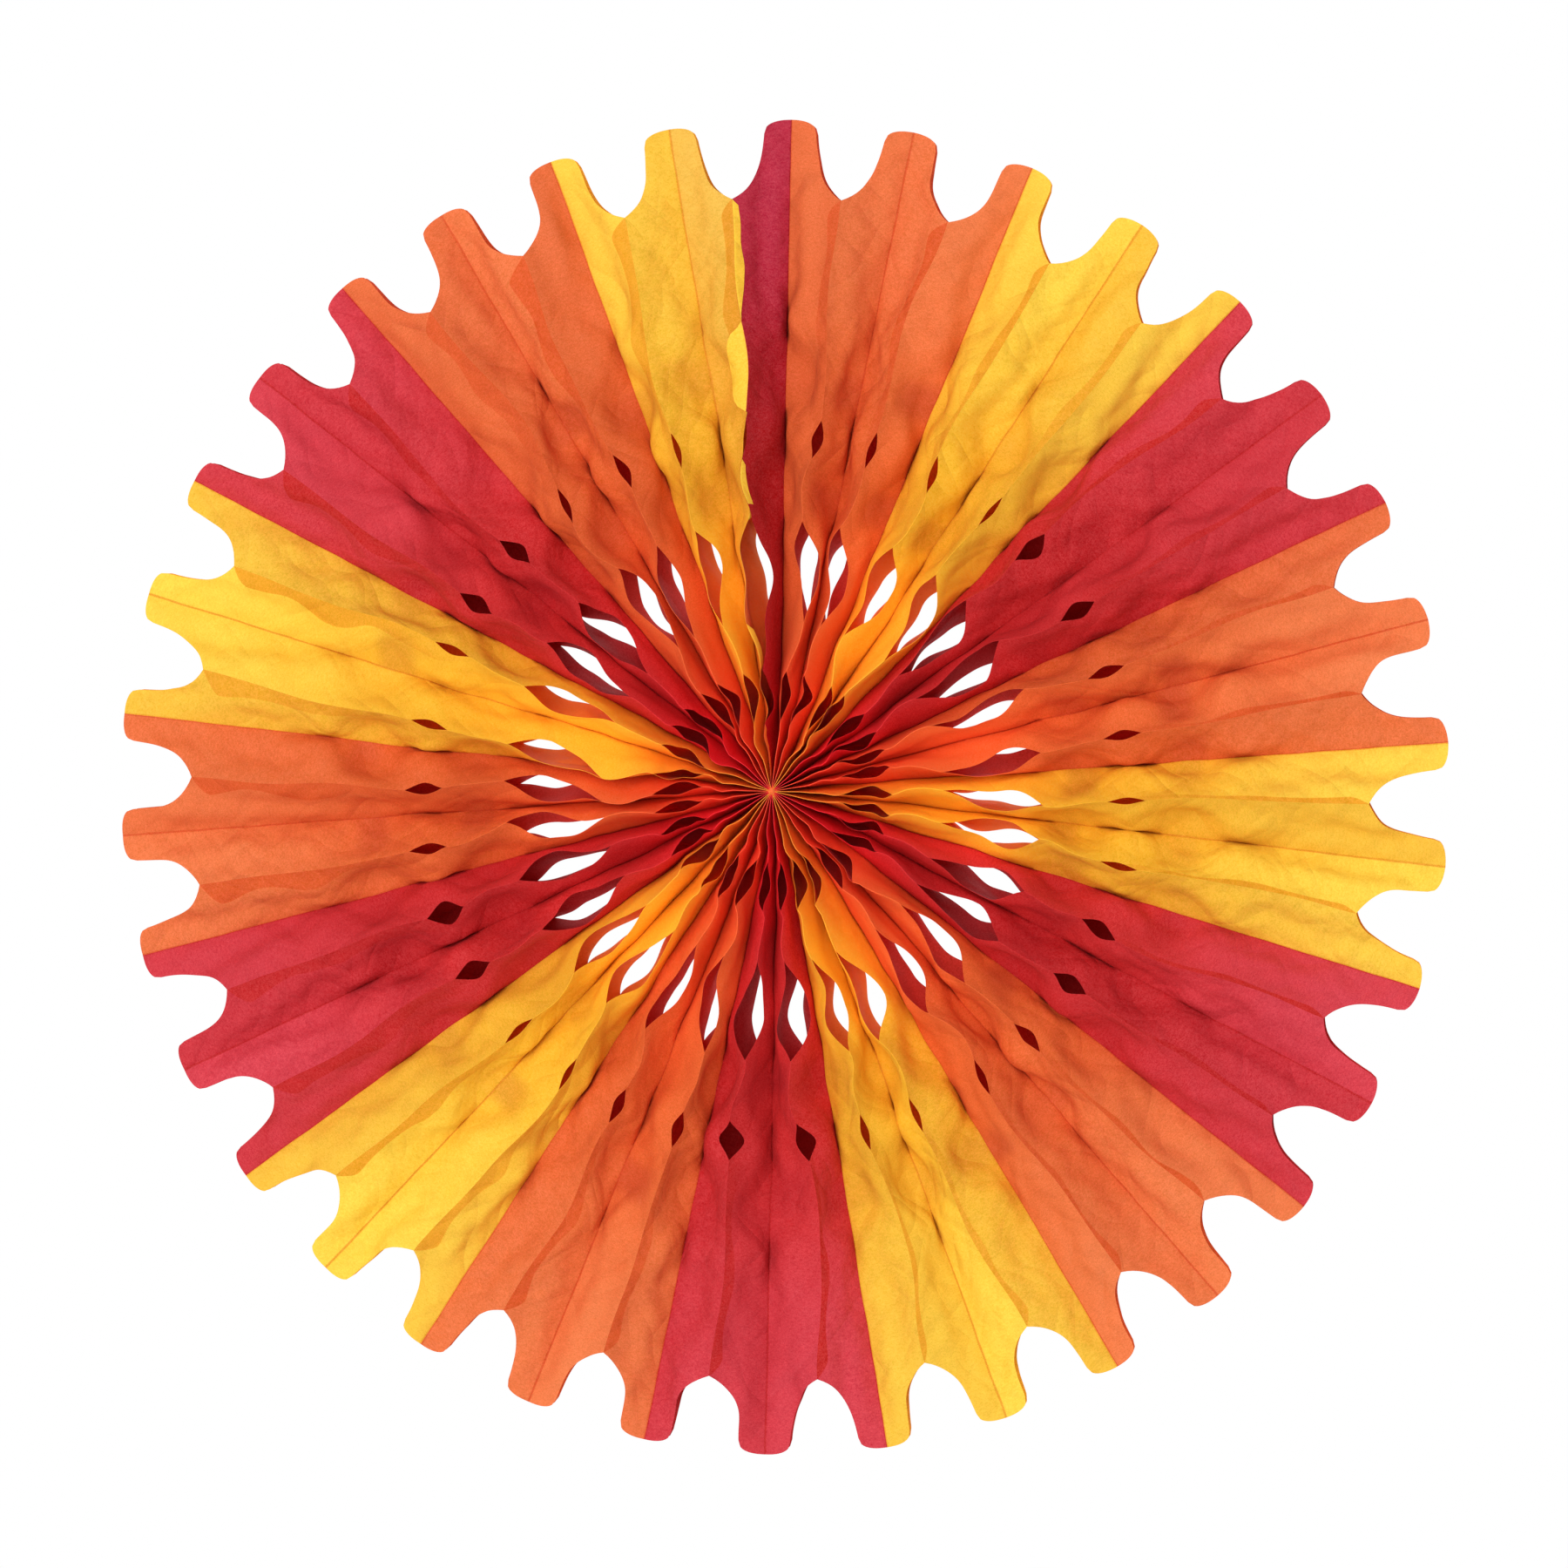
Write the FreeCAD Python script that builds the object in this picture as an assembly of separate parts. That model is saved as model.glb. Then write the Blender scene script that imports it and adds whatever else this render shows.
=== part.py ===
"""Paper fan medallion: tissue tubes glued side by side round a hub, with eye cuts and a scalloped rim.

The fan hangs upright. Y is its axis, with the front towards -Y, and the origin is the middle of the hub.
Each tube is drawn pointing straight up and is then turned about Y to its place. The seam is at the top.
All lengths are in millimetres.
"""
import FreeCAD, Part
import math
import os

from FreeCAD import Vector

# The fan as a whole
FAN_RADIUS = 317.5
TUBE_COUNT = 34
RIM_HALF_DEPTH = 12.876
PAPER = 0.25
GLUE_STRIP = 1.2

# The hub, where the sheets lie tight together round the tie
HUB_RADIUS = 3.0
HUB_MARGIN = 6.0

# The scalloped rim: a notch at each glued edge, and half a tab on each side of a tube
NOTCH_RADIUS = 279.7
FLARE_RADIUS = 286.5
FLARE_HALF_WIDTH = 18.2
TAB_ROOT_RADIUS = 300.0
TAB_ROOT_HALF_WIDTH = 13.3
TAB_CORNER_DROP = 2.9
TAB_CORNER_HALF_WIDTH = 11.2

# Eye cuts: radius of each point of one side, and how far the cut reaches into the sheet there.
# All three rings show at the front, but light comes through the middle ring only, and as a narrower eye.
INNER_EYE = ((32.0, 0.0), (45.0, 18.0), (57.0, 0.0))
MIDDLE_EYE = ((79.5, 0.0), (104.0, 18.5), (115.0, 19.0), (128.0, 0.0))
OUTER_EYE = ((158.0, 0.0), (167.0, 8.5), (176.0, 0.0))
BACK_EYE = ((79.5, 0.0), (104.0, 10.5), (115.0, 11.0), (128.0, 0.0))

COLOURS = ("orange", "orange", "yellow", "yellow", "red", "red")
MIDDLE_SECTION_RADIUS = 143.0

HALF_ANGLE = math.pi / TUBE_COUNT
# From its glue strip to either long edge, a sheet just reaches across half a tube at the rim
SHEET_HALF_DEPTH = math.hypot(FAN_RADIUS * math.sin(HALF_ANGLE), RIM_HALF_DEPTH)
SECTIONS = (HUB_RADIUS, HUB_RADIUS + HUB_MARGIN, MIDDLE_SECTION_RADIUS, NOTCH_RADIUS, FAN_RADIUS)


def half_width(height):
    """Half the width of a tube: its two glue strips run straight out from the hub."""
    return height * math.tan(HALF_ANGLE)


def half_depth(height):
    """Half the depth of a tube: the wall keeps its width, so where the tube is wider it is shallower."""
    return math.sqrt(SHEET_HALF_DEPTH ** 2 - (height * math.sin(HALF_ANGLE)) ** 2)


def outer_section(height):
    """Section of a tube: a lozenge with its side corners cut flat, where the glue strips hold it."""
    wide = half_width(height)
    deep = half_depth(height)
    strip = GLUE_STRIP / 2
    corners = [(0, deep), (wide, strip), (wide, -strip), (0, -deep), (-wide, -strip), (-wide, strip)]
    return [Vector(x, y, height) for x, y in corners]


def hollow_section(height):
    """Section of the hollow: the lozenge moved in by the thickness of the paper."""
    wide = half_width(height)
    deep = half_depth(height)
    share = 1 - PAPER * math.hypot(wide, deep) / (wide * deep)
    corners = [(0, deep), (wide, 0), (0, -deep), (-wide, 0)]
    return [Vector(x * share, y * share, height) for x, y in corners]


def face(points):
    return Part.Face(Part.makePolygon(points + points[:1]))


def lozenge_body(sections):
    """A closed body through the sections, with flat facets folded from each front or back corner."""
    facets = [face(sections[0]), face(sections[-1])]
    for near, far in zip(sections, sections[1:]):
        for i in range(len(near)):
            j = (i + 1) % len(near)
            if near[i].x == near[j].x:
                facets.append(face([near[i], near[j], far[j], far[i]]))
            elif near[i].x == 0:
                facets.append(face([near[i], near[j], far[i]]))
                facets.append(face([near[j], far[j], far[i]]))
            else:
                facets.append(face([near[i], near[j], far[j]]))
                facets.append(face([near[i], far[j], far[i]]))
    body = Part.Solid(Part.makeShell(facets))
    body.fix(1e-6, 1e-6, 1e-6)
    return body


def from_glue_line(radius, offset):
    """A point of the front view at a radius, measured off the right-hand glue line towards the tube's middle."""
    sine = math.sin(HALF_ANGLE)
    cosine = math.cos(HALF_ANGLE)
    along = math.sqrt(radius ** 2 - offset ** 2)
    return Vector(along * sine - offset * cosine, 0, along * cosine + offset * sine)


def mirrored(points):
    return [Vector(-p.x, p.y, p.z) for p in reversed(points)]


def rim_outline():
    """Front view of one tube: a wedge from the hub to the tips of two half tabs, with the notch between."""
    right = [
        Vector(half_width(HUB_RADIUS), 0, HUB_RADIUS),
        from_glue_line(FAN_RADIUS, 0),
        from_glue_line(FAN_RADIUS - TAB_CORNER_DROP, TAB_CORNER_HALF_WIDTH),
        from_glue_line(TAB_ROOT_RADIUS, TAB_ROOT_HALF_WIDTH),
        from_glue_line(FLARE_RADIUS, FLARE_HALF_WIDTH),
    ]
    return right + [Vector(0, 0, NOTCH_RADIUS)] + mirrored(right)


def eye_cutter(points, side):
    """Bar that cuts an eye at the front (side -1) or the back (1), seen narrowed as the wall is turned there."""
    right = [Vector(half_width(z) * reach / SHEET_HALF_DEPTH, 0, z) for z, reach in points]
    outline = face(right + mirrored(right[1:-1]))
    return outline.extrude(Vector(0, side * SHEET_HALF_DEPTH, 0))


def tube():
    """One whole tube with its rim and eyes cut, pointing straight up."""
    body = lozenge_body([outer_section(z) for z in SECTIONS])
    hollow = lozenge_body([hollow_section(z) for z in SECTIONS[1:]])
    front_view = face(rim_outline())
    front_view.translate(Vector(0, -SHEET_HALF_DEPTH, 0))
    wall = body.cut(hollow).common(front_view.extrude(Vector(0, 2 * SHEET_HALF_DEPTH, 0)))
    for eye in (INNER_EYE, MIDDLE_EYE, OUTER_EYE):
        wall = wall.cut(eye_cutter(eye, -1))
    return wall.cut(eye_cutter(BACK_EYE, 1))


def end_sheet(whole, side):
    """The half of the seam's tube on one side (-1 left, 1 right) of the edge where the ring is closed."""
    block = Part.makeBox(FAN_RADIUS, 2 * SHEET_HALF_DEPTH, FAN_RADIUS)
    block.translate(Vector(0 if side > 0 else -FAN_RADIUS, -SHEET_HALF_DEPTH, 0))
    return whole.common(block)


def hub_tie():
    """The tie through the hub, with a flat side under the inner end of each tube."""
    side = Vector(half_width(HUB_RADIUS), -SHEET_HALF_DEPTH, HUB_RADIUS)
    turn = FreeCAD.Rotation(Vector(0, 1, 0), math.degrees(2 * HALF_ANGLE))
    corners = [side]
    for _ in range(TUBE_COUNT - 1):
        corners.append(turn.multVec(corners[-1]))
    return face(corners).extrude(Vector(0, 2 * SHEET_HALF_DEPTH, 0))


def turned(shape, angle):
    """The shape turned clockwise about the fan's axis, as seen from the front."""
    copy = shape.copy()
    copy.rotate(Vector(0, 0, 0), Vector(0, 1, 0), math.degrees(angle))
    return copy


def pieces():
    whole = tube()
    yield "end_sheet_yellow", end_sheet(whole, -1)
    yield "end_sheet_red", end_sheet(whole, 1)
    for place in range(1, TUBE_COUNT):
        colour = COLOURS[(place - 1) % len(COLOURS)]
        yield f"tube_{place:02d}_{colour}", turned(whole, 2 * HALF_ANGLE * place)
    yield "hub_tie", hub_tie()


os.makedirs("parts", exist_ok=True)
for name, shape in pieces():
    shape.exportStep(f"parts/{name}.step")
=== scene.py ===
"""Looks of the paper fan medallion: crumpled tissue tubes in stripes of red, orange and yellow."""
import math

import bpy
import numpy as np
from mathutils import Matrix, Vector


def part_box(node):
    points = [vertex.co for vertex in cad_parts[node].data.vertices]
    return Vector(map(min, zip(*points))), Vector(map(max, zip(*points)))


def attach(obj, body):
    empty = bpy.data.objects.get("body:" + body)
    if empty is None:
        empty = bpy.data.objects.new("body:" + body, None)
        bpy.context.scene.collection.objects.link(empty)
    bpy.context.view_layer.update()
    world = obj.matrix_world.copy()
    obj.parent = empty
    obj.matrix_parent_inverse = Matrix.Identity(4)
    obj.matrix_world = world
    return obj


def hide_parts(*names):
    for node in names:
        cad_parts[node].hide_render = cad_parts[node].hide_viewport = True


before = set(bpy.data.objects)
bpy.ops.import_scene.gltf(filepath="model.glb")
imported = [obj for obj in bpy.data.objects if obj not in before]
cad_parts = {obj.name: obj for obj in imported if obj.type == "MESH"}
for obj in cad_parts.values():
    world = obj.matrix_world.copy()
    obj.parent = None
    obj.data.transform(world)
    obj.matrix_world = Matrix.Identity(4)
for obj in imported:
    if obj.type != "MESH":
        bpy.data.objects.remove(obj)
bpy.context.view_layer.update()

bl_info = {
    "name": "Paper Fan Medallion",
    "version": (1, 0, 0),
    "blender": (4, 5, 0),
    "location": "View3D > Sidebar > Paper Fan",
    "description": "Folds and crumples the tissue tubes of a round paper fan",
    "category": "Add Mesh",
}

MM = 0.001
TUBE_NODES = sorted(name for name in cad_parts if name.startswith("tube_"))
# The two end sheets make one tube more
TUBE_COUNT = len(TUBE_NODES) + 1
HALF_ANGLE = math.pi / TUBE_COUNT
FAN_RADIUS = max(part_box(name)[1][0] for name in TUBE_NODES)
# From its middle line to either edge a sheet reaches almost as far as the tie does
SHEET_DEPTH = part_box("hub_tie")[1][1] * 0.98

# The flat sheet, as it is cut before folding
HUB_RADIUS = 1.3 * MM
NOTCH_RADIUS = 279.7 * MM
TAB_HALF_WIDTH = 12.5 * MM
FLARE_LENGTH = 7.8 * MM
TAB_CORNER = 6.5 * MM
TAB_ROUNDNESS = 2.4
# An eye swells out from its inner tip to its widest place, and closes from there to its outer tip
INNER_SIDE_CURVE = 1.25
OUTER_SIDE_CURVE = 1.5
# Each eye: radius of its inner tip, its widest place and its outer tip, then how far it opens at the front
# and at the back
EYES = (
    (32 * MM, 46 * MM, 57 * MM, 20 * MM, 0),
    (79.5 * MM, 109 * MM, 128 * MM, 20.5 * MM, 11 * MM),
    (157 * MM, 167 * MM, 176 * MM, 9 * MM, 0),
)
# How wide the middle and the outer eyes stand open at the front, for tubes of each colour
OPENINGS = {"red": (1.0, 1.0), "orange": (0.8, 0.55), "yellow": (0.84, 0.45)}
# Painted shade of the end sheets, which lie in the shade beside the tubes: shares of the deep and of the
# pale colour that they keep, in red, green and blue
END_SHEET_PAINTED_SHADE = {"red": ((0.66, 0.42, 0.5), (0.74, 0.5, 0.8)), "yellow": ((0.93, 0.84, 1.0), (0.92, 0.86, 1.4))}
# Tubes whose front edge flops far over to one side next to the hub. The others lean and flop by chance.
LEAN = 0.22
FLOP = 0.35
FLOPPED = {27: -1.3, 26: -0.5, 33: -0.25, 3: -0.7, 4: 0.8}
# The end sheet that lies on top at the seam has a narrow hem along its front edge, folded over the other
HEM = 4.6 * MM
HEM_SLIVER = 0.2 * MM
HEM_TAPER = 16 * MM
HEM_GAP = 0.5 * MM
HEM_COLUMNS = 6
# Part of that edge is turned back over its own sheet as a flap
FLAP_START = 178 * MM
FLAP_END = 222 * MM
FLAP_WIDTH = 11.5 * MM
FLAP_LIFT = 3.2 * MM
# Rows of the meshes stand closer along the eyes, and the columns run from the middle line to an edge
ROW_STEP = 2.9 * MM
EYE_ROW_STEP = 1.7 * MM
COLUMNS = 12
SHARP_FOLD = math.radians(50)
# How far the glue line between two tubes wanders, sideways and in depth
LINE_SIDE_WANDER = 3.4 * MM
LINE_DEPTH_WANDER = 7 * MM
# Depth of the creases that the meshes hold: broad ones, and small ones between them
BROAD_CREASE = 4.9 * MM
SMALL_CREASE = 3 * MM
# Dents stand in the valleys between the tubes at even steps of radius, counted from this one
DENT_RADIUS = 141 * MM
DENT_STEP = 55 * MM
# The edges of sheets lap over the next tube in waves, widest at one tube and narrowest opposite to it
LAP_WAVE = 47 * MM
WIDEST_LAP_TUBE = 28
# Shares of the deep colour, in red, green and blue: where a sheet laps over the next, along its middle
# crease, in the painted shade of the valleys, on the deeper ones of the sheets, and in the painted shade
# next to the hub
LAP_TONE = (0.9, 0.74, 0.66)
CREASE_TONE = (0.8, 0.52, 0.5)
PAINTED_VALLEY_SHADE_TONE = (0.72, 0.5, 0.7)
DEEPER_TONE = (0.86, 0.76, 0.9)
HUB_PAINTED_SHADE_TONE = (1.25, 0.5, 0.85)
# Share of the light that soaks through the paper, and how much warmer it is than light that bounces off
SOAK_SHARE = 0.24
SOAK_WARMTH = (1.0, 0.76, 0.6)
# The twisted tie: its radius halfway, how much wider its ends are, its ridges, and how far it stands out
TIE_RADIUS = 1.1 * MM
TIE_FLARE = 0.6 * MM
TIE_RIDGE = 0.18 * MM
TIE_RIDGES = 5
TIE_TWIST = 34
TIE_END = 0.5 * MM
TIE_RINGS = 60
TIE_SIDES = 24
# The stage: the floor, and where a direct look sees it begin and end to fade
FLOOR_HEIGHT = -0.75
FLOOR_RADIUS = 3.0
FADE_START = 1.0
FADE_END = 2.6
STUDIO_LEVEL = 0.69


def eye_cut(radius, back, openings):
    """How far the eyes open in the front or back edge of a sheet at a radius."""
    for opening, (inner, widest, outer, *depths) in zip(openings, EYES):
        depth = depths[1] if back else depths[0] * opening
        if inner < radius <= widest:
            return depth * math.sin(math.pi / 2 * (radius - inner) / (widest - inner)) ** INNER_SIDE_CURVE
        if widest < radius < outer:
            return depth * (1 - ((radius - widest) / (outer - widest)) ** OUTER_SIDE_CURVE)
    return 0.0


def sheet_reach(radius, back, openings):
    """Share of a half sheet that is left between its middle line and its edge, eye or tab side."""
    if radius <= NOTCH_RADIUS:
        return 1 - eye_cut(radius, back, openings) / SHEET_DEPTH
    notch_half_width = NOTCH_RADIUS * math.sin(HALF_ANGLE)
    flare = math.exp((NOTCH_RADIUS - radius) / FLARE_LENGTH)
    side = TAB_HALF_WIDTH + (notch_half_width - TAB_HALF_WIDTH) * flare
    return min(1, side / (radius * math.sin(HALF_ANGLE)))


def row_radii():
    """Radii of the mesh rows, with a row on each tip of an eye and on the notch."""
    stops = [HUB_RADIUS]
    for inner, _, outer, *_ in EYES:
        stops += [inner, outer]
    stops += [NOTCH_RADIUS, FAN_RADIUS]
    rows = [HUB_RADIUS]
    for i, (start, end) in enumerate(zip(stops, stops[1:])):
        in_eye = i % 2 == 1
        count = math.ceil((end - start) / (EYE_ROW_STEP if in_eye else ROW_STEP))
        rows += [start + (end - start) * (k + 1) / count for k in range(count)]
    return rows


def tab_end_drop(radius, across):
    """How far the rounded end of a tab lies inside the rim, at a share of the way out to its side."""
    blend = max(0, (radius - NOTCH_RADIUS) / (FAN_RADIUS - NOTCH_RADIUS)) ** 2
    return blend * TAB_CORNER * (1 - (1 - min(1, across) ** TAB_ROUNDNESS) ** (1 / TAB_ROUNDNESS))


def hem_width(radius):
    """Width of the hem at a radius: only a sliver along the eyes and beyond the notch."""
    if radius >= NOTCH_RADIUS or any(inner <= radius <= outer for inner, _, outer, *_ in EYES):
        return HEM_SLIVER
    if FLAP_START < radius < FLAP_END:
        return FLAP_WIDTH * math.sin(math.pi * (radius - FLAP_START) / (FLAP_END - FLAP_START)) ** 0.8
    tapered = min(1, max(0.05, (radius - FLAP_END) / HEM_TAPER)) if radius >= FLAP_END else 1
    return HEM * tapered * (1 + 0.22 * math.sin(radius / MM * 0.11) + 0.1 * math.sin(radius / MM * 0.31))


def flat_sheets(name, sides, openings, hem):
    """Flat cut sheets as a mesh: x runs across from the front edge to the back edge, y is the radius."""
    rows = row_radii()
    across = [k / COLUMNS for k in range(-COLUMNS, COLUMNS + 1)]
    if hem:
        across = [-1 - k / HEM_COLUMNS for k in range(HEM_COLUMNS, 0, -1)] + across
    points = []
    faces = []
    side_of_point = []
    for side in sides:
        base = len(points)
        for radius in rows:
            reaches = (sheet_reach(radius, False, openings), sheet_reach(radius, True, openings))
            for share in across:
                x = max(-1, share) * reaches[share > 0] * SHEET_DEPTH + min(0, share + 1) * hem_width(radius)
                points.append((x, radius - tab_end_drop(radius, abs(share)), 0))
                side_of_point.append(side)
        width = len(across)
        for i in range(len(rows) - 1):
            for j in range(width - 1):
                corner = base + i * width + j
                face = (corner, corner + 1, corner + width + 1, corner + width)
                faces.append(face if side > 0 else face[::-1])
    mesh = bpy.data.meshes.new(name)
    mesh.from_pydata(points, [], faces)
    mesh.attributes.new("side", "FLOAT", "POINT").data.foreach_set("value", side_of_point)
    uv = mesh.uv_layers.new(name="flat_sheet")
    for loop, spot in zip(mesh.loops, uv.data):
        spot.uv = points[loop.vertex_index][:2]
    return mesh


class Field:
    """A value in a node tree. Sums of fields read like formulas and become math nodes."""

    def __init__(self, tree, socket):
        self.tree = tree
        self.socket = socket

    def plug(self, socket, value):
        """Feed a socket with another field or with a plain number."""
        if isinstance(value, Field):
            self.tree.links.new(value.socket, socket)
        else:
            socket.default_value = value

    def constant(self, number):
        """A field that is the same number everywhere."""
        node = self.tree.nodes.new("ShaderNodeValue")
        node.outputs[0].default_value = number
        return Field(self.tree, node.outputs[0])

    def math(self, operation, *others):
        """This field put through a math node, with others as its further inputs."""
        node = self.tree.nodes.new("ShaderNodeMath")
        node.operation = operation
        for socket, value in zip(node.inputs, (self,) + others):
            self.plug(socket, value)
        return Field(self.tree, node.outputs[0])

    def __add__(self, other):
        return self.math("ADD", other)

    def __sub__(self, other):
        return self.math("SUBTRACT", other)

    def __mul__(self, other):
        return self.math("MULTIPLY", other)

    def __truediv__(self, other):
        return self.math("DIVIDE", other)

    def __rsub__(self, other):
        return self * -1.0 + other

    def __neg__(self):
        return self * -1.0

    def ramp(self, low, high):
        """Smooth step from 0 at the low value to 1 at the high value."""
        node = self.tree.nodes.new("ShaderNodeMapRange")
        node.interpolation_type = "SMOOTHSTEP"
        self.plug(node.inputs["Value"], self)
        self.plug(node.inputs["From Min"], low)
        self.plug(node.inputs["From Max"], high)
        return Field(self.tree, node.outputs["Result"])


def joined(tree, x, y, z):
    """The three fields as one vector."""
    node = tree.nodes.new("ShaderNodeCombineXYZ")
    for socket, value in zip(node.inputs, (x, y, z)):
        Field(tree, None).plug(socket, value)
    return Field(tree, node.outputs[0])


def noise(tree, x, y, z, detail=0.0):
    """Smooth noise about zero, mostly within a quarter of a unit each way."""
    node = tree.nodes.new("ShaderNodeTexNoise")
    tree.links.new(joined(tree, x, y, z).socket, node.inputs["Vector"])
    node.inputs["Scale"].default_value = 1.0
    node.inputs["Detail"].default_value = detail
    return Field(tree, node.outputs["Fac"]) - 0.5


def creases(tree, across, along, layer, scale):
    """Sharp creases that run out slantwise both ways from the middle line of a sheet, about zero."""
    away = across.math("ABSOLUTE")
    total = None
    for slant, shift in ((0.8, 0.0), (-0.65, 9.0)):
        over = along * math.cos(slant) + away * math.sin(slant)
        run = away * math.cos(slant) - along * math.sin(slant)
        fold = noise(tree, over * scale, run * scale * 0.4, layer + shift).math("ABSOLUTE")
        total = fold if total is None else total + fold
    return total - 0.2


def add_input(tree, name, kind, default=None, low=None, high=None):
    """Give a node tree an input, with its default value and its range."""
    socket = tree.interface.new_socket(name, in_out="INPUT", socket_type=kind)
    if default is not None:
        socket.default_value = default
    if low is not None:
        socket.min_value = low
        socket.max_value = high


def fold_inputs(tree):
    """Give the folding tree its named inputs and its output. The node brings the inputs into the tree."""
    add_input(tree, "Flat Sheets", "NodeSocketGeometry")
    add_input(tree, "Sheet Depth", "NodeSocketFloat", SHEET_DEPTH, 0.001, 1.0)
    add_input(tree, "Notch Radius", "NodeSocketFloat", NOTCH_RADIUS, 0.001, 2.0)
    add_input(tree, "Tube Count", "NodeSocketFloat", TUBE_COUNT, 3.0, 1000.0)
    add_input(tree, "Place", "NodeSocketFloat", 0.0, 0.0, 1000.0)
    add_input(tree, "Lean", "NodeSocketFloat", 0.0, -2.0, 2.0)
    add_input(tree, "Flop", "NodeSocketFloat", 0.0, -2.0, 2.0)
    add_input(tree, "Crumple", "NodeSocketFloat", 1.0, 0.0, 3.0)
    add_input(tree, "Seed", "NodeSocketFloat", 0.0, -1000.0, 1000.0)
    add_input(tree, "Tissue", "NodeSocketMaterial")
    tree.interface.new_socket("Tube", in_out="OUTPUT", socket_type="NodeSocketGeometry")
    return tree.nodes.new("NodeGroupInput")


class FlatPoint:
    """What the folding tree knows of a point of a flat sheet: where it lies, and on which sheet."""

    def __init__(self, tree, source):
        self.tree = tree
        self.source = source
        position = tree.nodes.new("ShaderNodeSeparateXYZ")
        tree.links.new(tree.nodes.new("GeometryNodeInputPosition").outputs[0], position.inputs[0])
        stored = tree.nodes.new("GeometryNodeInputNamedAttribute")
        stored.data_type = "FLOAT"
        stored.inputs["Name"].default_value = "side"
        flat_x = Field(tree, position.outputs[0])
        self.radius = Field(tree, position.outputs[1])
        self.side = Field(tree, stored.outputs["Attribute"])
        self.place = self.given("Place")
        self.sheet = self.place * 2.0 + self.side * 0.5
        self.depth = self.given("Sheet Depth")
        self.face = flat_x.math("SIGN")
        self.share = flat_x.math("ABSOLUTE") / self.depth
        self.half_angle = Field(tree, None).constant(math.pi) / self.given("Tube Count")
        self.half_width = self.radius * self.half_angle.math("SINE")
        self.off_hub = self.radius.ramp(6 * MM, 30 * MM)
        self.off_notch = (self.radius / self.given("Notch Radius")).ramp(1.0, 0.8)

    def given(self, name):
        """One of the tree's inputs."""
        return Field(self.tree, self.source.outputs[name])


def glue_line(flat):
    """Where the glue line between two tubes runs. It wanders a little, and both tubes follow it."""
    radius = flat.radius
    line = (flat.place + flat.side * 0.5).math("FLOORED_MODULO", flat.given("Tube Count"))
    aside = noise(flat.tree, radius * 38.0, line * 1.9, 3.1, 1.0) * LINE_SIDE_WANDER * flat.off_hub
    aside = aside * (radius.ramp(235 * MM, 140 * MM) * 0.7 + 0.3)
    deep = noise(flat.tree, radius * 30.0, line * 2.3, 8.7) * LINE_DEPTH_WANDER * flat.off_hub
    deep = deep * (radius.ramp(260 * MM, 150 * MM) * 0.5 + 0.5)
    sine = flat.half_angle.math("SINE")
    cosine = flat.half_angle.math("COSINE")
    return flat.side * flat.half_width + aside * cosine, deep, radius * cosine - flat.side * aside * sine


def tube_edge(flat):
    """Where the glued long edge of a tube runs: how far to one side, and how deep."""
    tree = flat.tree
    radius = flat.radius
    place = flat.place
    face = flat.face
    ripple = noise(tree, radius * 95.0, place * 0.5, face * 4.3) * 3.0 * radius.ramp(64 * MM, 48 * MM)
    bend = noise(tree, radius * 36.0, place * 0.8, face * 2.9 + 6.0) * 2.0 * radius.ramp(190 * MM, 90 * MM)
    sway = noise(tree, radius * 17.0, place * 1.7, face * 5.9 + flat.given("Seed")) * 1.1 * flat.off_notch
    sway = sway * (radius.ramp(235 * MM, 140 * MM) * 0.55 + 0.45) + bend
    at_front = face.ramp(0.5, -0.5)
    flop = flat.given("Flop") * at_front * radius.ramp(48 * MM, 84 * MM) * radius.ramp(138 * MM, 96 * MM)
    lean = flat.given("Lean") * flat.off_notch
    wander = (ripple + sway + flop + lean) * flat.off_hub * flat.half_width
    reach = flat.half_width + wander.math("ABSOLUTE")

    # The wall keeps its width, so the further the edge leans over, the shallower it lies
    slack = (flat.depth * flat.depth - reach * reach).math("MAXIMUM", 0.0)
    return wander, slack.math("SQRT").math("MAXIMUM", flat.half_width * 0.3) * face


def wall_lift(flat, share):
    """How far a wall swells, dents and creases outwards, at a share of the way from glue line to edge."""
    tree = flat.tree
    radius = flat.radius
    sheet = flat.sheet
    loose = share.ramp(0.0, 0.48) * share.ramp(1.0, 0.45)
    swell = noise(tree, radius * 22.0, share * 1.6, sheet * 1.3 + 5.0) * 0.5 * flat.half_width
    across = share * flat.face * flat.depth
    broad = creases(tree, across, radius, sheet * 3.1, 34.0) * BROAD_CREASE
    small = creases(tree, across, radius, sheet * 2.3 + 4.0, 72.0) * SMALL_CREASE
    outer_part = radius.ramp(95 * MM, 215 * MM) * 0.85 + 0.15
    crumple = (broad + small) * outer_part * flat.given("Crumple")
    rim_fade = radius.ramp(312 * MM, 288 * MM)

    valley = share.ramp(0.0, 0.25) * share.ramp(0.95, 0.35)
    beat = ((radius - DENT_RADIUS) * (2 * math.pi / DENT_STEP)).math("COSINE")
    beat_zone = radius.ramp(96 * MM, 130 * MM) * radius.ramp(262 * MM, 205 * MM)
    uneven = noise(tree, radius * 9.0, sheet * 1.7, 2.0) * 2.4 + 1.0
    dent = beat * beat_zone * flat.half_width * -0.2 * uneven
    return (swell + crumple) * loose * flat.off_hub * rim_fade + dent * valley


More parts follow.
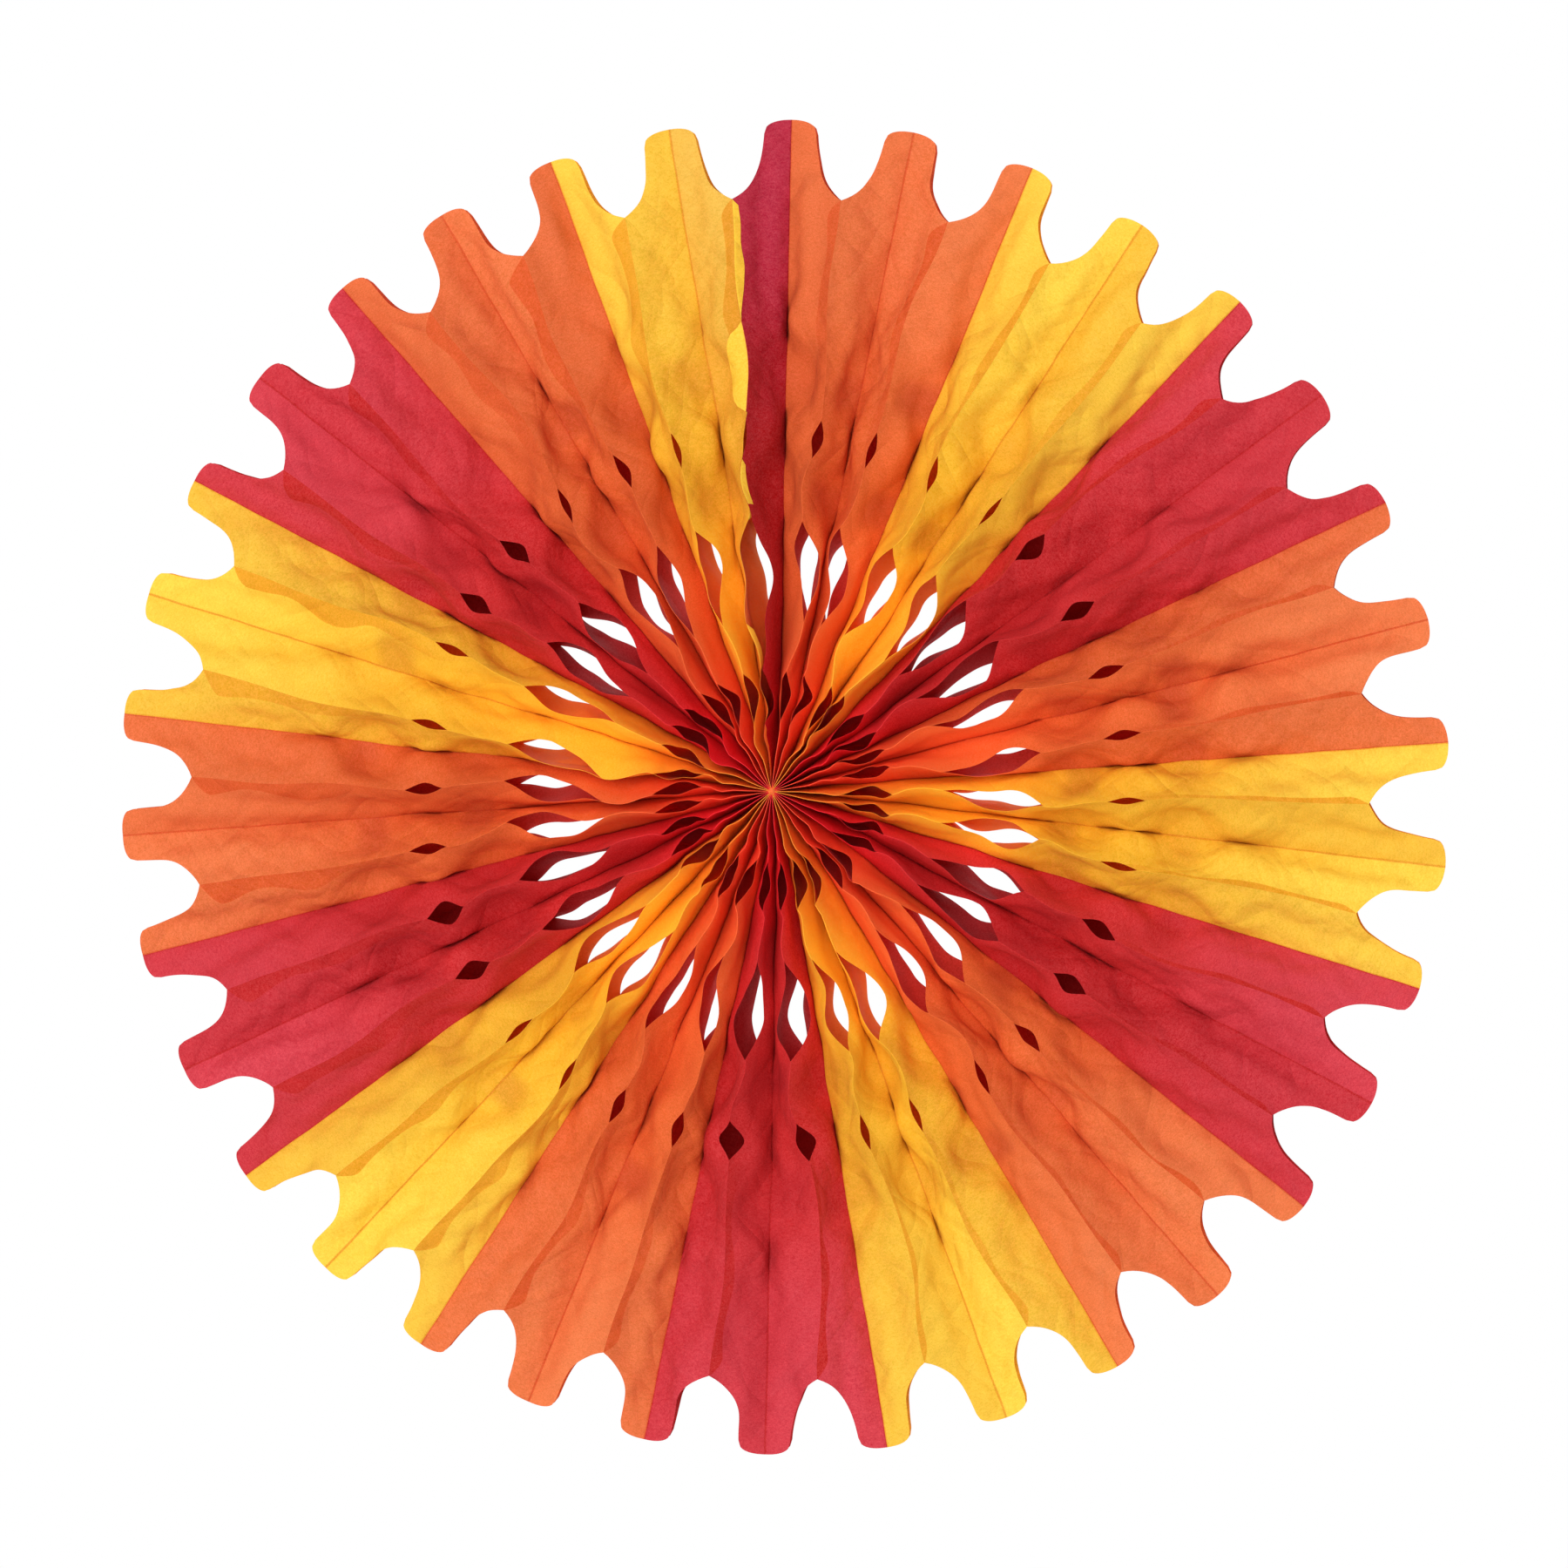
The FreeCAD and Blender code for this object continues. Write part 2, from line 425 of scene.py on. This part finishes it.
def folded_point(flat):
    """Where a point of a flat sheet comes to lie on a tube that points straight up."""
    radius = flat.radius
    glue_x, glue_y, glue_z = glue_line(flat)
    wander, edge_y = tube_edge(flat)

    # Beyond the edge a hem folds over onto the next wall, and the flap is turned back over its own
    beyond = (flat.share - 1.0).math("MAXIMUM", 0.0)
    turned_back = radius.ramp(FLAP_START, FLAP_START + 4 * MM) * radius.ramp(FLAP_END, FLAP_END - 4 * MM)
    hem = beyond * (1.0 - turned_back)
    share = flat.share.math("MINIMUM", 1.0) - beyond * turned_back
    flap_lift = beyond.ramp(0.0, 0.25).math("SQRT") * turned_back * FLAP_LIFT
    hem_front = beyond.ramp(0.0, 0.03) * (1.0 - turned_back) * HEM_GAP

    # A flat wall runs from the glue line to the glued edge, and lifts off square to itself
    run_x = wander - glue_x
    rise_z = radius - glue_z
    lift = wall_lift(flat, share) + flap_lift
    out_x = flat.side * flat.face * edge_y / flat.depth
    out_y = -(flat.side * flat.face * run_x) / flat.depth
    x = glue_x + run_x * share + out_x * lift - (flat.side * flat.half_width + wander) * hem
    y = glue_y + (edge_y - glue_y) * share - edge_y * hem + out_y * lift - hem_front
    z = glue_z + rise_z * (share - hem)
    return x, y, z


def fold_tree():
    """Node tree that folds flat sheets into a crumpled tube and turns it to its place on the fan."""
    tree = bpy.data.node_groups.new("Fold Paper Tube", "GeometryNodeTree")
    source = fold_inputs(tree)
    flat = FlatPoint(tree, source)
    x, y, z = folded_point(flat)
    angle = flat.half_angle * flat.place * 2.0
    turned_x = x * angle.math("COSINE") + z * angle.math("SINE")
    turned_z = z * angle.math("COSINE") - x * angle.math("SINE")

    mark = tree.nodes.new("GeometryNodeStoreNamedAttribute")
    mark.data_type = "FLOAT"
    mark.domain = "POINT"
    mark.inputs["Name"].default_value = "sheet"
    tree.links.new(source.outputs["Flat Sheets"], mark.inputs["Geometry"])
    tree.links.new(flat.sheet.socket, mark.inputs["Value"])
    fold = tree.nodes.new("GeometryNodeSetPosition")
    tree.links.new(mark.outputs[0], fold.inputs["Geometry"])
    tree.links.new(joined(tree, turned_x, y, turned_z).socket, fold.inputs["Position"])
    realize = tree.nodes.new("GeometryNodeRealizeInstances")
    tree.links.new(fold.outputs[0], realize.inputs[0])
    finish = tree.nodes.new("GeometryNodeSetMaterial")
    tree.links.new(realize.outputs[0], finish.inputs["Geometry"])
    tree.links.new(source.outputs["Tissue"], finish.inputs["Material"])
    result = tree.nodes.new("NodeGroupOutput")
    tree.links.new(finish.outputs[0], result.inputs[0])
    return tree


def set_inputs(modifier, tree, **values):
    """Give the inputs of a node tree modifier their values, each by its name."""
    for item in tree.interface.items_tree:
        if item.item_type == "SOCKET" and item.in_out == "INPUT" and item.name in values:
            modifier[item.identifier] = values[item.name]


def settle(obj):
    """Apply the object's modifiers, so that its mesh is plain."""
    graph = bpy.context.evaluated_depsgraph_get()
    mesh = bpy.data.meshes.new_from_object(obj.evaluated_get(graph))
    obj.modifiers.clear()
    obj.data = mesh
    mesh.name = obj.name


def new_object(name, data):
    """An object in the scene that holds a mesh, a lamp or a camera."""
    obj = bpy.data.objects.new(name, data)
    bpy.context.scene.collection.objects.link(obj)
    return obj


def folded_piece(name, sides, place, lean, flop, crumple, seed, colour, openings, hem=False):
    """One tube, or one end sheet, folded, crumpled and given the thickness of its paper."""
    sizes = bpy.context.scene.paper_fan
    obj = new_object(name, flat_sheets(name, sides, openings, hem))
    # The end sheets get the copy of their tissue with painted shade
    outside = tissue(colour, shaded=len(sides) == 1)
    # The inner faces of the paper take the tissue inside, which is painted shade
    for material in (outside, tissue_inside(colour)):
        obj.data.materials.append(material)
    tree = bpy.data.node_groups.get("Fold Paper Tube") or fold_tree()
    fold = obj.modifiers.new("Fold", "NODES")
    fold.node_group = tree
    set_inputs(fold, tree, **{
        "Sheet Depth": SHEET_DEPTH, "Notch Radius": NOTCH_RADIUS, "Tube Count": float(TUBE_COUNT),
        "Place": float(place), "Lean": lean, "Flop": flop, "Crumple": crumple * sizes.crumple,
        "Seed": seed, "Tissue": outside,
    })
    paper = obj.modifiers.new("Paper", "SOLIDIFY")
    paper.thickness = sizes.paper
    paper.offset = -1
    paper.material_offset = 1
    settle(obj)
    obj.data.shade_smooth()
    obj.data.set_sharp_from_angle(angle=SHARP_FOLD)
    return obj


def mixed(tree, low, high, amount):
    """A colour between two others. Each is a tuple or a socket."""
    node = tree.nodes.new("ShaderNodeMix")
    node.data_type = "RGBA"
    tree.links.new(amount.socket, node.inputs[0])
    for socket, colour in ((node.inputs[6], low), (node.inputs[7], high)):
        if isinstance(colour, tuple):
            socket.default_value = colour + (1.0,)
        else:
            tree.links.new(colour, socket)
    return node.outputs[2]


def toned(colour, shares):
    """The colour with its red, green and blue each scaled by its own share."""
    return tuple(part * share for part, share in zip(colour, shares))


def between(colour, other):
    """The colour halfway between two others."""
    return tuple((a + b) / 2 for a, b in zip(colour, other))


def scaled(tree, colour, factor):
    """The colour made lighter or darker by a factor."""
    node = tree.nodes.new("ShaderNodeVectorMath")
    node.operation = "SCALE"
    tree.links.new(colour, node.inputs[0])
    tree.links.new(factor.socket, node.inputs["Scale"])
    return node.outputs[0]


def lifted(tree, colour, amount):
    """The colour with the same small amount added to each of its parts."""
    node = tree.nodes.new("ShaderNodeVectorMath")
    node.operation = "ADD"
    tree.links.new(colour, node.inputs[0])
    tree.links.new(amount.socket, node.inputs[1])
    return node.outputs[0]


class FlatTissue:
    """A flat sheet as its material sees it: the place across it, the radius, and which sheet it is."""

    def __init__(self, tree):
        self.tree = tree
        uv = tree.nodes.new("ShaderNodeUVMap")
        uv.uv_map = "flat_sheet"
        split = tree.nodes.new("ShaderNodeSeparateXYZ")
        tree.links.new(uv.outputs[0], split.inputs[0])
        stored = tree.nodes.new("ShaderNodeAttribute")
        stored.attribute_name = "sheet"
        self.across = Field(tree, split.outputs[0])
        self.radius = Field(tree, split.outputs[1])
        self.sheet = Field(tree, stored.outputs["Fac"])
        self.from_middle = self.across.math("ABSOLUTE")
        self.from_edge = self.from_middle * -1.0 + SHEET_DEPTH

    def noise(self, scale, detail=0.0, squash=1.0):
        """Noise that is different on each sheet."""
        return noise(self.tree, self.across * scale * squash, self.radius * scale, self.sheet * 7.3, detail)


def lap_strip(flat):
    """Where the edge of a sheet laps over the next one: a strip with a wavy side, widest at one tube."""
    from_notch = flat.radius * -1.0 + NOTCH_RADIUS
    waves = (from_notch * (2 * math.pi / LAP_WAVE) - 0.7).math("COSINE") * 2.2 * MM
    uneven = noise(flat.tree, flat.radius * 45.0, flat.sheet * 5.1, 0.5) * 9 * MM
    rounded = from_notch.ramp(0.0, 9 * MM).math("SQRT")
    by_place = ((flat.sheet - 2.0 * WIDEST_LAP_TUBE) * (math.pi / TUBE_COUNT)).math("COSINE") * 0.5 + 0.5
    width = ((waves + uneven) * (by_place * 0.75 + 0.35) + by_place * 7.2 * MM + 2.6 * MM) * rounded
    one_side = flat.sheet.math("FLOORED_MODULO", 2.0).ramp(1.1, 1.3)
    strip = (flat.from_edge - width).ramp(0.5 * MM, -0.2 * MM) * from_notch.ramp(0.0, 0.4 * MM) * one_side
    return strip * from_notch.ramp(150 * MM, 60 * MM)


def painted_valley_shade(flat):
    """Painted shade: soft dark patches in the valleys between the tubes, at even steps of radius."""
    radius = flat.radius
    beat = ((radius - DENT_RADIUS) * (2 * math.pi / DENT_STEP) + flat.noise(9.0) * 3.0).math("COSINE")
    in_valley = (flat.from_middle / SHEET_DEPTH + flat.noise(30.0) * 0.5).ramp(0.95, 0.35)
    zone = radius.ramp(105 * MM, 132 * MM) * radius.ramp(240 * MM, 205 * MM)
    uneven = noise(flat.tree, radius * 14.0, flat.sheet * 2.9, 4.4).ramp(-0.14, 0.14)
    return beat.ramp(0.2, 1.0) * in_valley * zone * uneven


def tissue_colour(flat, deep, pale, hub, hem):
    """Colour of a sheet: deep, and paler towards the rim with painted light, but deep where it laps over the
    next or is creased.
    """
    tree = flat.tree
    lap = lap_strip(flat)
    # Painted light: paler towards the rim, where light soaks through the tab ends from behind
    rim = (flat.radius + flat.noise(26.0, 2.0) * 60 * MM).ramp(150 * MM, 292 * MM)
    colour = mixed(tree, deep, pale, (rim * (1.0 - lap)).math("MAXIMUM", 0.0))
    colour = mixed(tree, colour, toned(deep, LAP_TONE), lap * 0.88)
    crease = (flat.from_middle + flat.noise(120.0) * 0.5 * MM).ramp(0.85 * MM, 0.25 * MM)
    colour = mixed(tree, colour, toned(deep, CREASE_TONE), crease * 0.72)
    # Painted shade in the valleys between the tubes
    colour = mixed(tree, colour, toned(deep, PAINTED_VALLEY_SHADE_TONE), painted_valley_shade(flat) * 0.62)
    each_sheet = noise(tree, flat.sheet * 3.7, 0.3, 0.9).ramp(0.12, -0.16)
    colour = mixed(tree, colour, toned(deep, DEEPER_TONE), each_sheet * 0.5)
    colour = mixed(tree, colour, hem, flat.from_edge.ramp(0.0, -0.4 * MM))
    # Painted shade next to the hub: redder, for light that has come through many sheets
    colour = mixed(tree, colour, hub, flat.radius.ramp(84 * MM, 26 * MM))

    # Clouds, fibres and specks vary the tone
    clouds = flat.noise(150.0, 3.0)
    fibres = flat.noise(950.0, 2.0, 0.6)
    specks = flat.noise(1900.0)
    grain = fibres + specks
    # Painted light: the tone rises towards the hub
    painted_light_inward = flat.radius.ramp(160 * MM, 80 * MM) * 0.2
    tone = clouds * 0.14 + grain * 0.2 + painted_light_inward + 1.02
    return lifted(tree, scaled(tree, colour, tone), grain * 0.05)


def fine_creases(flat):
    """Bump of the creases that the mesh is too coarse for."""
    tree = flat.tree
    outer_part = flat.radius.ramp(60 * MM, 200 * MM) * 0.8 + 0.2
    patchy = flat.noise(38.0).ramp(-0.12, 0.2)
    folds = creases(tree, flat.across, flat.radius, flat.sheet * 4.1, 85.0) * 4.2 * MM
    crinkles = creases(tree, flat.across, flat.radius, flat.sheet * 9.7, 190.0) * 1.1 * MM * patchy
    height = (folds + crinkles) * outer_part * 0.62
    bump = tree.nodes.new("ShaderNodeBump")
    bump.inputs["Strength"].default_value = 1.0
    bump.inputs["Distance"].default_value = 1.0
    tree.links.new(height.socket, bump.inputs["Height"])
    return bump.outputs[0]


def tissue_paper(name, deep, pale, hub, hem):
    """Tissue paper, which lets some of the light soak through."""
    material = bpy.data.materials.new(name)
    material.use_nodes = True
    tree = material.node_tree
    nodes = tree.nodes
    links = tree.links
    flat = FlatTissue(tree)
    colour = tissue_colour(flat, deep, pale, hub, hem)
    bump = fine_creases(flat)
    shader = nodes["Principled BSDF"]
    shader.inputs["Roughness"].default_value = 0.75
    shader.inputs["Specular IOR Level"].default_value = 0.3
    links.new(colour, shader.inputs["Base Color"])
    links.new(bump, shader.inputs["Normal"])
    warmth = nodes.new("ShaderNodeVectorMath")
    warmth.operation = "MULTIPLY"
    warmth.inputs[1].default_value = SOAK_WARMTH
    links.new(colour, warmth.inputs[0])
    through = nodes.new("ShaderNodeBsdfTranslucent")
    links.new(warmth.outputs[0], through.inputs["Color"])
    links.new(bump, through.inputs["Normal"])
    mix = nodes.new("ShaderNodeMixShader")
    mix.inputs[0].default_value = SOAK_SHARE
    links.new(shader.outputs[0], mix.inputs[1])
    links.new(through.outputs[0], mix.inputs[2])
    links.new(mix.outputs[0], nodes["Material Output"].inputs["Surface"])
    return material


def tissue(name, shaded=False):
    """The tissue of one colour, made when it is first asked for. The end sheets have a shaded kind, with
    painted shade.
    """
    sizes = bpy.context.scene.paper_fan
    title = name.capitalize() + (" Shaded" if shaded else "") + " Tissue"
    deep = tuple(getattr(sizes, name))
    pale = tuple(getattr(sizes, name + "_pale"))
    hem = between(deep, pale)
    # Painted shade: the end sheets lie in the shade between their neighbours
    if shaded:
        deep_shares, pale_shares = END_SHEET_PAINTED_SHADE[name]
        deep = toned(deep, deep_shares)
        pale = toned(pale, pale_shares)
    # Painted shade next to the hub: redder and darker than the deep colour
    hub = tuple(min(1, part) for part in toned(deep, HUB_PAINTED_SHADE_TONE))
    return bpy.data.materials.get(title) or tissue_paper(title, deep, pale, hub, hem)


def tissue_inside(name):
    """The tissue on the inside of a tube, darker with painted shade for the light that has soaked through
    other sheets.
    """
    sizes = bpy.context.scene.paper_fan
    title = name.capitalize() + " Tissue Inside"
    inside = tuple(getattr(sizes, name + "_inside"))
    outside = tuple(getattr(sizes, name))
    hem = between(outside, getattr(sizes, name + "_pale"))
    # Painted shade next to the hub inside the tubes
    hub = tuple(sizes.hub_inside)
    return bpy.data.materials.get(title) or tissue_paper(title, inside, outside, hub, hem)


class PaperFanSettings(bpy.types.PropertyGroup):
    """Sizes and colours of the fan that a user may change"""

    paper: bpy.props.FloatProperty(
        name="Paper Thickness", description="Thickness of the tissue", default=0.12 * MM,
        min=0.01 * MM, max=1 * MM, unit="LENGTH", precision=5)
    crumple: bpy.props.FloatProperty(
        name="Crumple", description="Depth of the creases in the tissue, as a share of the usual",
        default=1.0, min=0.0, max=2.0, subtype="FACTOR")
    seed: bpy.props.IntProperty(
        name="Seed", description="Changes how each tube leans and crumples", default=7)
    red: bpy.props.FloatVectorProperty(
        name="Red", description="Red tissue where sheets lie over each other",
        subtype="COLOR", size=3, default=(0.70, 0.029, 0.030), min=0.0, max=1.0)
    # Painted light: the paler red towards the rim
    red_pale: bpy.props.FloatVectorProperty(
        name="Pale Red", description="Red tissue towards the rim",
        subtype="COLOR", size=3, default=(0.72, 0.055, 0.080), min=0.0, max=1.0)
    # Painted shade: the darker colour inside the red tubes
    red_inside: bpy.props.FloatVectorProperty(
        name="Red Inside", description="Red tissue inside its tubes",
        subtype="COLOR", size=3, default=(0.62, 0.030, 0.034), min=0.0, max=1.0)
    orange: bpy.props.FloatVectorProperty(
        name="Orange", description="Orange tissue where sheets lie over each other",
        subtype="COLOR", size=3, default=(0.88, 0.160, 0.034), min=0.0, max=1.0)
    # Painted light: the paler orange towards the rim
    orange_pale: bpy.props.FloatVectorProperty(
        name="Pale Orange", description="Orange tissue towards the rim",
        subtype="COLOR", size=3, default=(0.875, 0.228, 0.070), min=0.0, max=1.0)
    # Painted shade: the darker colour inside the orange tubes
    orange_inside: bpy.props.FloatVectorProperty(
        name="Orange Inside", description="Orange tissue inside its tubes",
        subtype="COLOR", size=3, default=(0.80, 0.080, 0.052), min=0.0, max=1.0)
    yellow: bpy.props.FloatVectorProperty(
        name="Yellow", description="Yellow tissue where sheets lie over each other",
        subtype="COLOR", size=3, default=(1.0, 0.575, 0.031), min=0.0, max=1.0)
    # Painted light: the paler yellow towards the rim
    yellow_pale: bpy.props.FloatVectorProperty(
        name="Pale Yellow", description="Yellow tissue towards the rim",
        subtype="COLOR", size=3, default=(1.0, 0.74, 0.072), min=0.0, max=1.0)
    # Painted shade: the darker colour inside the yellow tubes
    yellow_inside: bpy.props.FloatVectorProperty(
        name="Yellow Inside", description="Yellow tissue inside its tubes",
        subtype="COLOR", size=3, default=(0.96, 0.34, 0.060), min=0.0, max=1.0)
    # Painted shade: the dark colour inside the tubes next to the hub
    hub_inside: bpy.props.FloatVectorProperty(
        name="Hub Inside", description="Tissue of any colour inside its tube next to the hub",
        subtype="COLOR", size=3, default=(0.55, 0.050, 0.060), min=0.0, max=1.0)


class PAPERFAN_OT_tubes(bpy.types.Operator):
    """Fold and crumple the closed tubes of the fan"""

    bl_idname = "paperfan.tubes"
    bl_label = "Paper Tubes"

    def execute(self, context):
        draw = np.random.default_rng(context.scene.paper_fan.seed)
        for place, node in enumerate(TUBE_NODES, start=1):
            colour = node.rsplit("_", 1)[1]
            lean = draw.uniform(-LEAN, LEAN)
            flop = FLOPPED.get(place, draw.uniform(-FLOP, FLOP))
            seed = draw.uniform(0, 90)
            middle, outer = OPENINGS[colour]
            inner = draw.uniform(0.85, 1.1)
            openings = (inner, middle * draw.uniform(0.86, 1.12), outer * draw.uniform(0.7, 1.1))
            piece = folded_piece("paper_" + node, (1, -1), place, lean, flop, 1.0, seed, colour, openings)
            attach(piece, "root")
            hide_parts(node)
            "tissue_" + colour
        return {"FINISHED"}


class PAPERFAN_OT_end_sheets(bpy.types.Operator):
    """Fold the two end sheets that are glued together at the seam"""

    bl_idname = "paperfan.end_sheets"
    bl_label = "End Sheets"

    def execute(self, context):
        # Each has a colour, side, flop, crumple, opening of the middle eye, and a hem or none
        for colour, side, flop, crumple, middle, hem in (
                ("red", 1, 0.2, 0.15, 0.45, False), ("yellow", -1, -1.1, 0.9, 0.3, True)):
            node = "end_sheet_" + colour
            openings = (1, middle, 0.2)
            piece = folded_piece("paper_" + node, (side,), 0, 0.0, flop, crumple, 0.0, colour, openings, hem)
            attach(piece, "root")
            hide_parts(node)
        return {"FINISHED"}


class PAPERFAN_OT_hub_tie(bpy.types.Operator):
    """Twist the tissue tie that draws the sheets together at the hub"""

    bl_idname = "paperfan.hub_tie"
    bl_label = "Hub Tie"

    def execute(self, context):
        points = []
        faces = []
        for i in range(TIE_RINGS + 1):
            along = i / TIE_RINGS
            from_middle = along * 2 - 1
            waist = TIE_RADIUS + TIE_FLARE * abs(from_middle) ** 4
            for k in range(TIE_SIDES):
                angle = 2 * math.pi * k / TIE_SIDES
                radius = waist + TIE_RIDGE * math.sin(TIE_RIDGES * angle + along * TIE_TWIST)
                y = from_middle * (SHEET_DEPTH + TIE_END)
                points.append((radius * math.cos(angle), y, radius * math.sin(angle)))
        for i in range(TIE_RINGS):
            for k in range(TIE_SIDES):
                a = i * TIE_SIDES + k
                b = i * TIE_SIDES + (k + 1) % TIE_SIDES
                faces.append((a, a + TIE_SIDES, b + TIE_SIDES, b))
        faces.append(tuple(range(TIE_SIDES)))
        faces.append(tuple(TIE_RINGS * TIE_SIDES + k for k in reversed(range(TIE_SIDES))))
        mesh = bpy.data.meshes.new("twisted_hub_tie")
        mesh.from_pydata(points, [], faces)
        # The tie takes its tissue from a spot of the flat sheet that is off the crease and away from the hub
        uv = mesh.uv_layers.new(name="flat_sheet")
        for loop, spot in zip(mesh.loops, uv.data):
            x, y, z = points[loop.vertex_index]
            spot.uv = (x + 6 * MM, y + z + 130 * MM)
        mesh.shade_smooth()
        mesh.materials.append(tissue("orange"))
        piece = new_object("twisted_hub_tie", mesh)
        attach(piece, "root")
        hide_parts("hub_tie")
        return {"FINISHED"}


class PAPERFAN_OT_stage(bpy.types.Operator):
    """Set up the pale floor, the soft lights and the camera"""

    bl_idname = "paperfan.stage"
    bl_label = "Stage"

    def execute(self, context):
        scene = context.scene
        scene.view_settings.view_transform = "Standard"
        place = (0, 0, FLOOR_HEIGHT)
        bpy.ops.mesh.primitive_circle_add(vertices=96, radius=FLOOR_RADIUS, fill_type="NGON", location=place)
        floor = context.object
        floor.name = "pale_floor"
        floor.data.transform(floor.matrix_world)
        floor.matrix_world = Matrix.Identity(4)
        floor.data.materials.append(pale_floor())
        scene.world = soft_studio()
        add_softbox("softbox_front", Vector((-0.55, -3.0, 0.6)), 54)
        add_softbox("softbox_back", Vector((0.4, 3.0, 0.8)), 24)
        scene.camera = fan_camera()
        return {"FINISHED"}


def aimed(place, target, roll):
    """Matrix of a lamp or camera at a place that looks at a target, rolled about its line of sight."""
    back = (place - target).normalized()
    right = Vector((0, 0, 1)).cross(back).normalized()
    up = back.cross(right)
    rolled_right = right * math.cos(roll) + up * math.sin(roll)
    rolled_up = up * math.cos(roll) - right * math.sin(roll)
    matrix = Matrix((rolled_right, rolled_up, back)).transposed().to_4x4()
    matrix.translation = place
    return matrix


def add_softbox(name, place, energy):
    """A large square lamp that faces the fan."""
    lamp = bpy.data.lights.new(name, "AREA")
    lamp.shape = "SQUARE"
    lamp.size = 2.0
    lamp.energy = energy
    new_object(name, lamp).matrix_world = aimed(place, Vector((0, 0, 0)), 0.0)


def fan_camera():
    """A long lens, a little to the right of the fan's axis and a little above it."""
    distance = 3.0
    azimuth = math.radians(5.9)
    elevation = math.radians(1.3)
    roll = math.radians(-4.14)
    target = Vector((2.84 * MM, 0, 2.34 * MM))
    level = math.cos(elevation)
    back = Vector((math.sin(azimuth) * level, -math.cos(azimuth) * level, math.sin(elevation)))
    data = bpy.data.cameras.new("Fan Camera")
    data.lens = 144.9
    data.sensor_width = 36
    data.clip_end = 20
    camera = new_object("fan_camera", data)
    camera.matrix_world = aimed(target + back * distance, target, roll)
    return camera


def pale_floor():
    """A pale floor that a direct look sees fade into the white studio towards its edge."""
    material = bpy.data.materials.new("Pale Floor")
    material.use_nodes = True
    tree = material.node_tree
    nodes = tree.nodes
    shader = nodes["Principled BSDF"]
    shader.inputs["Base Color"].default_value = (0.88, 0.88, 0.88, 1)
    shader.inputs["Roughness"].default_value = 0.9
    spot = nodes.new("ShaderNodeTexCoord")
    length = nodes.new("ShaderNodeVectorMath")
    length.operation = "LENGTH"
    tree.links.new(spot.outputs["Object"], length.inputs[0])
    seen = Field(tree, nodes.new("ShaderNodeLightPath").outputs["Is Camera Ray"])
    fade = Field(tree, length.outputs["Value"]).ramp(FADE_START, FADE_END) * seen
    white = nodes.new("ShaderNodeEmission")
    white.inputs["Strength"].default_value = 1.0
    mix = nodes.new("ShaderNodeMixShader")
    tree.links.new(fade.socket, mix.inputs[0])
    tree.links.new(shader.outputs[0], mix.inputs[1])
    tree.links.new(white.outputs[0], mix.inputs[2])
    tree.links.new(mix.outputs[0], nodes["Material Output"].inputs["Surface"])
    return material


def soft_studio():
    """A pale studio all round, which a direct look sees as white."""
    world = bpy.data.worlds.new("Soft Studio")
    world.use_nodes = True
    nodes = world.node_tree.nodes
    links = world.node_tree.links
    path = nodes.new("ShaderNodeLightPath")
    seen = Field(world.node_tree, path.outputs["Is Camera Ray"])
    seen = seen.math("MAXIMUM", Field(world.node_tree, path.outputs["Is Glossy Ray"]))
    seen = seen.math("MAXIMUM", Field(world.node_tree, path.outputs["Is Transmission Ray"]))
    strength = seen * (1 - STUDIO_LEVEL) + STUDIO_LEVEL
    links.new(strength.socket, nodes["Background"].inputs["Strength"])
    nodes["Background"].inputs["Color"].default_value = (1, 1, 1, 1)
    return world


class PAPERFAN_PT_panel(bpy.types.Panel):
    """Sidebar panel of the paper fan"""

    bl_label = "Paper Fan"
    bl_idname = "PAPERFAN_PT_panel"
    bl_space_type = "VIEW_3D"
    bl_region_type = "UI"
    bl_category = "Paper Fan"

    def draw(self, context):
        settings = context.scene.paper_fan
        for name in PaperFanSettings.__annotations__:
            self.layout.prop(settings, name)
        for operator in OPERATORS:
            self.layout.operator(operator.bl_idname)


OPERATORS = (PAPERFAN_OT_tubes, PAPERFAN_OT_end_sheets, PAPERFAN_OT_hub_tie, PAPERFAN_OT_stage)
CLASSES = (PaperFanSettings, *OPERATORS, PAPERFAN_PT_panel)


def register():
    for cls in CLASSES:
        bpy.utils.register_class(cls)
    bpy.types.Scene.paper_fan = bpy.props.PointerProperty(type=PaperFanSettings)


def unregister():
    del bpy.types.Scene.paper_fan
    for cls in reversed(CLASSES):
        bpy.utils.unregister_class(cls)


def main():
    register()
    bpy.ops.paperfan.tubes()
    bpy.ops.paperfan.end_sheets()
    bpy.ops.paperfan.hub_tie()
    bpy.ops.paperfan.stage()


if __name__ == "__main__":
    main()
